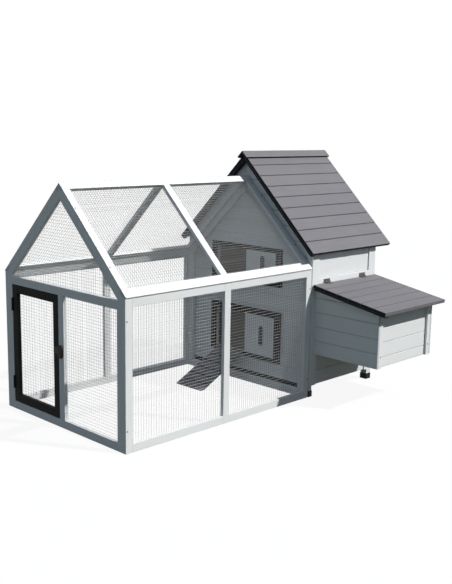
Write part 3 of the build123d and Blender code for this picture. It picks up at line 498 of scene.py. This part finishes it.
def wireLayer(tree, given, rod, upright):
    span = given["Across" if upright else "Up"]
    pitch = given["Pitch Across" if upright else "Pitch Up"]
    step = 0 if upright else 2  # the axis from wire to wire
    gaps = mathNode(tree, "FLOOR", mathNode(tree, "DIVIDE", span, pitch))
    spare = mathNode(tree, "SUBTRACT", span, mathNode(tree, "MULTIPLY", gaps, pitch))
    margin = mathNode(tree, "MULTIPLY", spare, 0.5)
    line = addNode(tree, "GeometryNodeMeshLine", {
        "Count": mathNode(tree, "ADD", gaps, 1.0),
        "Start Location": vectorOf(tree, {step: margin}),
        "Offset": vectorOf(tree, {step: pitch}),
    })
    position = addNode(tree, "GeometryNodeInputPosition").outputs[0]
    where = addNode(tree, "ShaderNodeSeparateXYZ", {0: position}).outputs
    half = mathNode(tree, "MULTIPLY", given["Across"], 0.5)
    layer = mathNode(tree, "MULTIPLY", given["Wire"], wireMesh["weld"])  # crossing wires are fused
    if upright:  # under a slope the wires end on it
        fromMiddle = mathNode(tree, "ABSOLUTE", mathNode(tree, "SUBTRACT", where[0], half))
        inset = mathNode(tree, "ADD", mathNode(tree, "SUBTRACT", half, fromMiddle), wireMesh["slopeLap"])
        room = mathNode(tree, "MULTIPLY", inset, given["Slope"])
        length = mathNode(tree, "MINIMUM", given["Up"], room)
        middle = {2: mathNode(tree, "MULTIPLY", length, 0.5), 1: mathNode(tree, "MULTIPLY", layer, -1.0)}
        turn = (0.0, 0.0, 0.0)
    else:
        taper = mathNode(tree, "DIVIDE", mathNode(tree, "MULTIPLY", where[2], 2.0), given["Slope"])
        length = mathNode(tree, "SUBTRACT", given["Across"], taper)
        middle = {0: half, 1: layer}
        turn = (0.0, math.pi / 2, 0.0)
    kept = addNode(tree, "GeometryNodeCaptureAttribute", {"Geometry": line.outputs[0]})
    kept.capture_items.new("VECTOR", "Size")
    tree.links.new(vectorOf(tree, {0: 1.0, 1: 1.0, 2: length}), kept.inputs["Size"])
    offset = vectorOf(tree, middle)
    moved = addNode(tree, "GeometryNodeSetPosition", {"Geometry": kept.outputs[0], "Offset": offset})
    wires = addNode(tree, "GeometryNodeInstanceOnPoints", {
        "Points": moved.outputs[0], "Instance": rod, "Rotation": turn, "Scale": kept.outputs["Size"],
    })
    return withPaintedShade(tree, wires, given["Painted Shade Upright" if upright else "Painted Shade Lying"])


def stapleShape(tree, given):
    thin = wireMesh["stapleWire"]
    crown = vectorOf(tree, {0: given["Staple Crown"], 1: thin, 2: thin})
    leg = (thin, wireMesh["stapleLeg"], thin)
    halfCrown = mathNode(tree, "MULTIPLY", given["Staple Crown"], 0.5)
    legSide = mathNode(tree, "SUBTRACT", halfCrown, thin * 0.5)
    staple = addNode(tree, "GeometryNodeJoinGeometry")
    for size, sideways, depth in (
        (crown, 0.0, wireMesh["crownDepth"]),
        (leg, 1.0, wireMesh["legDepth"]),
        (leg, -1.0, wireMesh["legDepth"]),
    ):
        inward = mathNode(tree, "MULTIPLY", given["Inner"], depth)
        offset = {0: mathNode(tree, "MULTIPLY", legSide, sideways), 1: inward}
        tree.links.new(movedBlock(tree, size, offset), staple.inputs[0])
    return staple.outputs[0]


def weldedWireTree():
    tree, given = newTree("weldedWire", "Border", (
        "Across", "Up", "Pitch Across", "Pitch Up", "Wire", "Slope",
        "Staple Every", "Staple Crown", "Inner", "Painted Shade Upright", "Painted Shade Lying",
    ), "Wires")
    radius = mathNode(tree, "MULTIPLY", given["Wire"], 0.5)
    rodSize = {"Vertices": wireMesh["sides"], "Radius": radius, "Depth": 1.0}
    rod = addNode(tree, "GeometryNodeMeshCylinder", rodSize).outputs[0]
    joined = addNode(tree, "GeometryNodeJoinGeometry")
    for upright in (True, False):
        tree.links.new(wireLayer(tree, given, rod, upright), joined.inputs[0])
    border = addNode(tree, "GeometryNodeMeshToCurve", {"Mesh": given["Border"]})
    spacing = {"Curve": border.outputs[0], "Length": given["Staple Every"]}
    spaced = addNode(tree, "GeometryNodeResampleCurve", spacing, mode="LENGTH")
    tangent = {"Vector": addNode(tree, "GeometryNodeInputTangent").outputs[0]}
    turned = addNode(tree, "FunctionNodeAlignRotationToVector", tangent, axis="X", pivot_axis="Y")
    staples = addNode(tree, "GeometryNodeInstanceOnPoints", {
        "Points": spaced.outputs[0], "Instance": stapleShape(tree, given), "Rotation": turned.outputs[0],
    })
    tree.links.new(withPaintedShade(tree, staples, wireMesh["stapleShade"]), joined.inputs[0])
    endTree(tree, joined.outputs[0], given["Finish"])
    return tree


def netPlane(node):
    mesh = cadNodes[node].data
    normal = max(mesh.polygons, key=lambda p: p.area).normal.copy()
    across = Vector((0, 1, 0)) if abs(normal.x) > squareOn else Vector((1, 0, 0))
    up = normal.cross(across).normalized()
    if up.z < 0:
        up = -up
    depth = up.cross(across).normalized()
    spans = []  # the net's extent along each of its own axes
    for axis in (across, depth, up):
        reach = [v.co.dot(axis) for v in mesh.vertices]
        spans.append((min(reach), max(reach)))
    return (across, depth, up), spans


def netSide(depth):
    if abs(depth.x) > squareOn:
        return "front"
    return "roof" if abs(depth.z) > wireMesh["roofTilt"] else "side"


def netBorder(node, width, height):
    inset = wireMesh["stapleInset"]
    if "gable" in node:
        foot = wireMesh["gableFoot"] * inset
        peak = height - wireMesh["gablePeak"] * inset
        corners = [(foot, inset), (width - foot, inset), (width / 2, peak)]
    else:
        right = width - inset
        top = height - inset
        corners = [(inset, inset), (right, inset), (right, top), (inset, top)]
    sides = [(i, (i + 1) % len(corners)) for i in range(len(corners))]
    border = bpy.data.meshes.new(node + "Border")
    border.from_pydata([(u, 0.0, v) for u, v in corners], sides, [])
    return border


def wireNet(node, tree):
    axes, spans = netPlane(node)
    width = spans[0][1] - spans[0][0]
    height = spans[2][1] - spans[2][0]
    middle = [(low + high) / 2 for low, high in spans]
    toHub = runHub - (axes[0] * middle[0] + axes[1] * middle[1] + axes[2] * middle[2])
    side = netSide(axes[1])
    values = {
        "Across": width, "Up": height, "Wire": wireMesh["wire"],
        "Pitch Across": wireMesh["pitchAcross"], "Pitch Up": wireMesh["pitchUp"],
        "Slope": 2 * height / width if "gable" in node else wireMesh["noSlope"],
        "Staple Every": wireMesh["stapleEvery"], "Staple Crown": wireMesh["stapleCrown"],
        "Inner": 1.0 if axes[1].dot(toHub) > 0 else -1.0,  # staples sit on the run's inner side
        "Painted Shade Upright": wireMesh["paintedShadeUpright"][side], "Painted Shade Lying": wireMesh["paintedShadeLying"][side],
        "Finish": mouldedFinish["mesh_wire"],
    }
    mesh = treeMesh(tree, node + "Wires", values, netBorder(node, width, height))
    place = Matrix(axes).transposed().to_4x4()
    place.translation = axes[0] * spans[0][0] + axes[1] * middle[1] + axes[2] * spans[2][0]
    mesh.transform(place)
    linkPiece(node + "_wires", mesh, bodyOf[node], [node])


wireTree = weldedWireTree()
netNodes = [node for node in cadNodes if slotOf[node] == "mesh_wire"]
for node in netNodes:
    wireNet(node, wireTree)
print("wire nets:", len(netNodes))


# screw heads: flat domes with a cross recess, over the CAD heads and on the hinge plates
screwHead = {
    "radius": 0.0045, "rise": 0.0017, "slotLong": 0.0046, "slotWide": 0.0009, "slotLift": 0.85,
    "segments": 20, "rings": 12, "underCut": 3.0, "turnStep": 0.71,  # cut in radii, turn in radians
    "plateScale": 0.72, "plateSpread": 0.018, "plateFacing": 0.7,
}


def screwTree():
    sizes = ("Radius", "Rise", "Slot Long", "Slot Wide")
    tree, given = newTree("crossHeadScrews", "Places", sizes, "Screws")
    ballSize = {"Segments": screwHead["segments"], "Rings": screwHead["rings"], "Radius": 1.0}
    ball = addNode(tree, "GeometryNodeMeshUVSphere", ballSize).outputs[0]
    domeSize = vectorOf(tree, {0: given["Radius"], 1: given["Radius"], 2: given["Rise"]})
    dome = addNode(tree, "GeometryNodeTransform", {"Geometry": ball, "Scale": domeSize}).outputs[0]
    cutting = {"operation": "DIFFERENCE", "solver": "EXACT"}
    head = addNode(tree, "GeometryNodeMeshBoolean", {"Mesh 1": dome}, **cutting)
    slotHeight = mathNode(tree, "MULTIPLY", given["Rise"], screwHead["slotLift"])
    under = mathNode(tree, "MULTIPLY", given["Radius"], screwHead["underCut"])
    underHeight = mathNode(tree, "MULTIPLY", under, -0.5)
    for cut, height in (
        ({0: given["Slot Long"], 1: given["Slot Wide"], 2: given["Rise"]}, slotHeight),
        ({0: given["Slot Wide"], 1: given["Slot Long"], 2: given["Rise"]}, slotHeight),
        ({0: under, 1: under, 2: under}, underHeight),  # the dome's lower half, inside the timber
    ):
        tree.links.new(movedBlock(tree, vectorOf(tree, cut), {2: height}), head.inputs["Mesh 2"])
    facing = addNode(tree, "GeometryNodeInputNamedAttribute", {"Name": "facing"}, data_type="FLOAT_VECTOR")
    scale = addNode(tree, "GeometryNodeInputNamedAttribute", {"Name": "headScale"}, data_type="FLOAT")
    upright = addNode(tree, "FunctionNodeAlignRotationToVector", {"Vector": facing.outputs[0]}, axis="Z")
    index = addNode(tree, "GeometryNodeInputIndex").outputs[0]
    ownTurn = mathNode(tree, "MULTIPLY", index, screwHead["turnStep"])  # each at its own angle
    turning = {"Rotation": upright.outputs[0], "Rotate By": vectorOf(tree, {2: ownTurn})}
    turned = addNode(tree, "FunctionNodeRotateRotation", turning, rotation_space="LOCAL")
    placed = addNode(tree, "GeometryNodeInstanceOnPoints", {
        "Points": given["Places"], "Instance": head.outputs[0],
        "Rotation": turned.outputs[0], "Scale": scale.outputs[0],
    })
    endTree(tree, placed.outputs[0], given["Finish"])
    return tree


def headPlaces():
    bm = plainCopy("frame_screws")
    places = []  # seat, facing and scale of every CAD screw head
    for group in islandsOf(bm):
        outward = sum((v.co for v in group), Vector()) / len(group) - runHub
        outward.x = 0.0
        caps = sorted(facesOf(group), key=lambda f: f.calc_area())[-2:]
        cap = max(caps, key=lambda f: f.normal.dot(outward))
        seat = min(caps, key=lambda f: f.normal.dot(outward))
        places.append((seat.calc_center_median(), cap.normal.copy(), 1.0))
    bm.free()
    return places


def platePlaces(node, outward, along):
    bm = plainCopy(node)
    places = []  # two screws on the showing face of each hinge plate
    for group in islandsOf(bm):
        showing = [f for f in facesOf(group) if f.normal.dot(outward) > screwHead["plateFacing"]]
        plate = max(showing, key=lambda f: f.calc_area())
        for side in (-1, 1):
            seat = plate.calc_center_bounds() + along * side * screwHead["plateSpread"]
            places.append((seat, plate.normal.copy(), screwHead["plateScale"]))
    bm.free()
    return places


def screwPiece(name, places, body, tree, replaced):
    seed = bpy.data.meshes.new(name + "Places")
    seed.from_pydata([seat for seat, facing, scale in places], [], [])
    seed.attributes.new("facing", "FLOAT_VECTOR", "POINT")
    seed.attributes.new("headScale", "FLOAT", "POINT")
    for i, (seat, facing, scale) in enumerate(places):
        seed.attributes["facing"].data[i].vector = facing
        seed.attributes["headScale"].data[i].value = scale
    values = {
        "Radius": screwHead["radius"], "Rise": screwHead["rise"], "Slot Long": screwHead["slotLong"],
        "Slot Wide": screwHead["slotWide"], "Finish": mouldedFinish["zinc_steel"],
    }
    linkPiece(name, treeMesh(tree, name, values, seed), body, replaced)


screwNodes = screwTree()
alongX = Vector((1, 0, 0))
alongY = Vector((0, 1, 0))
skyward = Vector((0, 0, 1))
coopPlaces = headPlaces() + platePlaces("lid_hinge_wall_leaves", -alongY, alongX)
coopPlaces += platePlaces("ramp_hinge_sill_leaves", -alongX, alongY)
screwPiece("coop_screws", coopPlaces, "coop", screwNodes, ["frame_screws"])
screwPiece("lid_screws", platePlaces("lid_hinge_lid_leaves", skyward, alongX), "nest_lid", screwNodes, [])
screwPiece("ramp_screws", platePlaces("ramp_hinge_ramp_leaves", skyward, alongY), "ramp", screwNodes, [])
print("screws:", len(coopPlaces), "on the coop")


# floor and daylight
studio = {
    "sunFrom": (0.585, -1.0, 1.2), "sunStrength": 4.2, "sunAngle": 1.2, "sunColour": (1.0, 0.985, 0.96),
    "horizon": (0.055, 0.070, 0.084), "zenith": (0.165, 0.218, 0.30), "skyRange": (0.05, 0.85),
    "sunSide": (0.235, 0.275, 0.335), "sunRange": (0.35, 1.0), "lowRange": (0.0, 0.5), "lowShare": 0.1,
    "coolFrom": (-1.0, 0.0, 0.6), "coolSide": (0.190, 0.248, 0.312), "coolRange": (0.3, 1.0),
    "floorColour": 0.85, "floorGlow": 1.0, "floorLit": 0.92, "floorBounce": (0.030, 0.042, 0.018),
    "floorSize": 40.0, "floorDrop": 0.0005,
}


def cameraRays(tree):
    path = addNode(tree, "ShaderNodeLightPath").outputs
    seen = mathNode(tree, "MAXIMUM", path["Is Camera Ray"], path["Is Glossy Ray"])
    return mathNode(tree, "MAXIMUM", seen, path["Is Transmission Ray"])


def towards(tree, aim, direction):
    settings = {0: aim, 1: Vector(direction).normalized()}
    return addNode(tree, "ShaderNodeVectorMath", settings, operation="DOT_PRODUCT").outputs["Value"]


def skyColour(tree):
    aim = addNode(tree, "ShaderNodeTexCoord").outputs["Generated"]
    height = addNode(tree, "ShaderNodeSeparateXYZ", {0: aim}).outputs[2]
    rise = remap(tree, height, studio["skyRange"], (0.0, 1.0))
    sky = mixColour(tree, rise, (*studio["horizon"], 1), (*studio["zenith"], 1))
    # brighter on the sun's side, but less so near the horizon
    glow = remap(tree, towards(tree, aim, studio["sunFrom"]), studio["sunRange"], (0.0, 1.0))
    low = remap(tree, height, studio["lowRange"], (studio["lowShare"], 1.0))
    sky = mixColour(tree, mathNode(tree, "MULTIPLY", glow, low), sky, (*studio["sunSide"], 1))
    cool = remap(tree, towards(tree, aim, studio["coolFrom"]), studio["coolRange"], (0.0, 1.0))
    return mixColour(tree, cool, sky, (*studio["coolSide"], 1))


def buildSky():
    world = bpy.data.worlds.new("studio")
    bpy.context.scene.world = world
    world.use_nodes = True
    tree = world.node_tree
    tree.nodes.clear()
    fill = addNode(tree, "ShaderNodeBackground", {"Color": skyColour(tree), "Strength": 1.0})
    paper = addNode(tree, "ShaderNodeBackground", {"Color": grey(1.0), "Strength": 1.0})
    shown = {0: cameraRays(tree), 1: fill.outputs[0], 2: paper.outputs[0]}
    mix = addNode(tree, "ShaderNodeMixShader", shown)
    output = addNode(tree, "ShaderNodeOutputWorld")
    tree.links.new(mix.outputs[0], output.inputs["Surface"])


def buildSun():
    sun = bpy.data.objects.new("key", bpy.data.lights.new("key", "SUN"))
    sun.data.energy = studio["sunStrength"]
    sun.data.angle = math.radians(studio["sunAngle"])
    sun.data.color = studio["sunColour"]
    sun.rotation_mode = "QUATERNION"
    sun.rotation_quaternion = Vector(studio["sunFrom"]).to_track_quat("Z", "Y")
    bpy.context.scene.collection.objects.link(sun)


def floorMaterial():
    material = bpy.data.materials.new("paleFloor")
    material.use_nodes = True
    tree = material.node_tree
    tree.nodes.clear()
    glowing = {"Color": grey(1.0), "Strength": studio["floorGlow"]}
    glow = addNode(tree, "ShaderNodeEmission", glowing).outputs[0]
    pale = addNode(tree, "ShaderNodeBsdfDiffuse", {"Color": grey(studio["floorColour"])}).outputs[0]
    dim = addNode(tree, "ShaderNodeBsdfDiffuse", {"Color": (*studio["floorBounce"], 1)}).outputs[0]
    lit = addNode(tree, "ShaderNodeMixShader", {0: studio["floorLit"], 1: pale, 2: glow}).outputs[0]
    mix = addNode(tree, "ShaderNodeMixShader", {0: cameraRays(tree), 1: dim, 2: lit})
    output = addNode(tree, "ShaderNodeOutputMaterial")
    tree.links.new(mix.outputs[0], output.inputs["Surface"])
    return material


def buildFloor():
    half = studio["floorSize"] / 2
    corners = [(-half, -half), (half, -half), (half, half), (-half, half)]
    mesh = bpy.data.meshes.new("floor")
    mesh.from_pydata([(x, y, -studio["floorDrop"]) for x, y in corners], [], [(0, 1, 2, 3)])
    mesh.materials.append(floorMaterial())
    floor = bpy.data.objects.new("floor", mesh)
    bpy.context.scene.collection.objects.link(floor)


# camera at the photograph's viewing angle
photoCamera = {
    "place": (-3.8012, -3.649, 1.649), "yaw": 44.55, "pitch": -10.55, "roll": 0.98,
    "focalPixels": 882.0, "imageHeight": 584.0, "sensor": 36.0, "clipEnd": 100.0,
}


def buildCamera():
    data = bpy.data.cameras.new("photoCamera")
    data.sensor_width = photoCamera["sensor"]
    data.lens = photoCamera["sensor"] * photoCamera["focalPixels"] / photoCamera["imageHeight"]
    data.clip_end = photoCamera["clipEnd"]
    camera = bpy.data.objects.new("photoCamera", data)
    bpy.context.scene.collection.objects.link(camera)
    yaw, pitch, roll = (math.radians(photoCamera[angle]) for angle in ("yaw", "pitch", "roll"))
    ahead = Vector((math.cos(yaw) * math.cos(pitch), math.sin(yaw) * math.cos(pitch), math.sin(pitch)))
    level = Vector((math.sin(yaw), -math.cos(yaw), 0.0))
    upright = level.cross(ahead)
    right = level * math.cos(roll) + upright * math.sin(roll)
    top = upright * math.cos(roll) - level * math.sin(roll)
    turn = Matrix((right, top, -ahead)).transposed()
    camera.matrix_world = Matrix.Translation(photoCamera["place"]) @ turn.to_4x4()
    bpy.context.scene.camera = camera


buildSky()
buildSun()
buildFloor()
buildCamera()
bpy.context.scene.view_settings.view_transform = "Standard"
print("stage and camera ready")
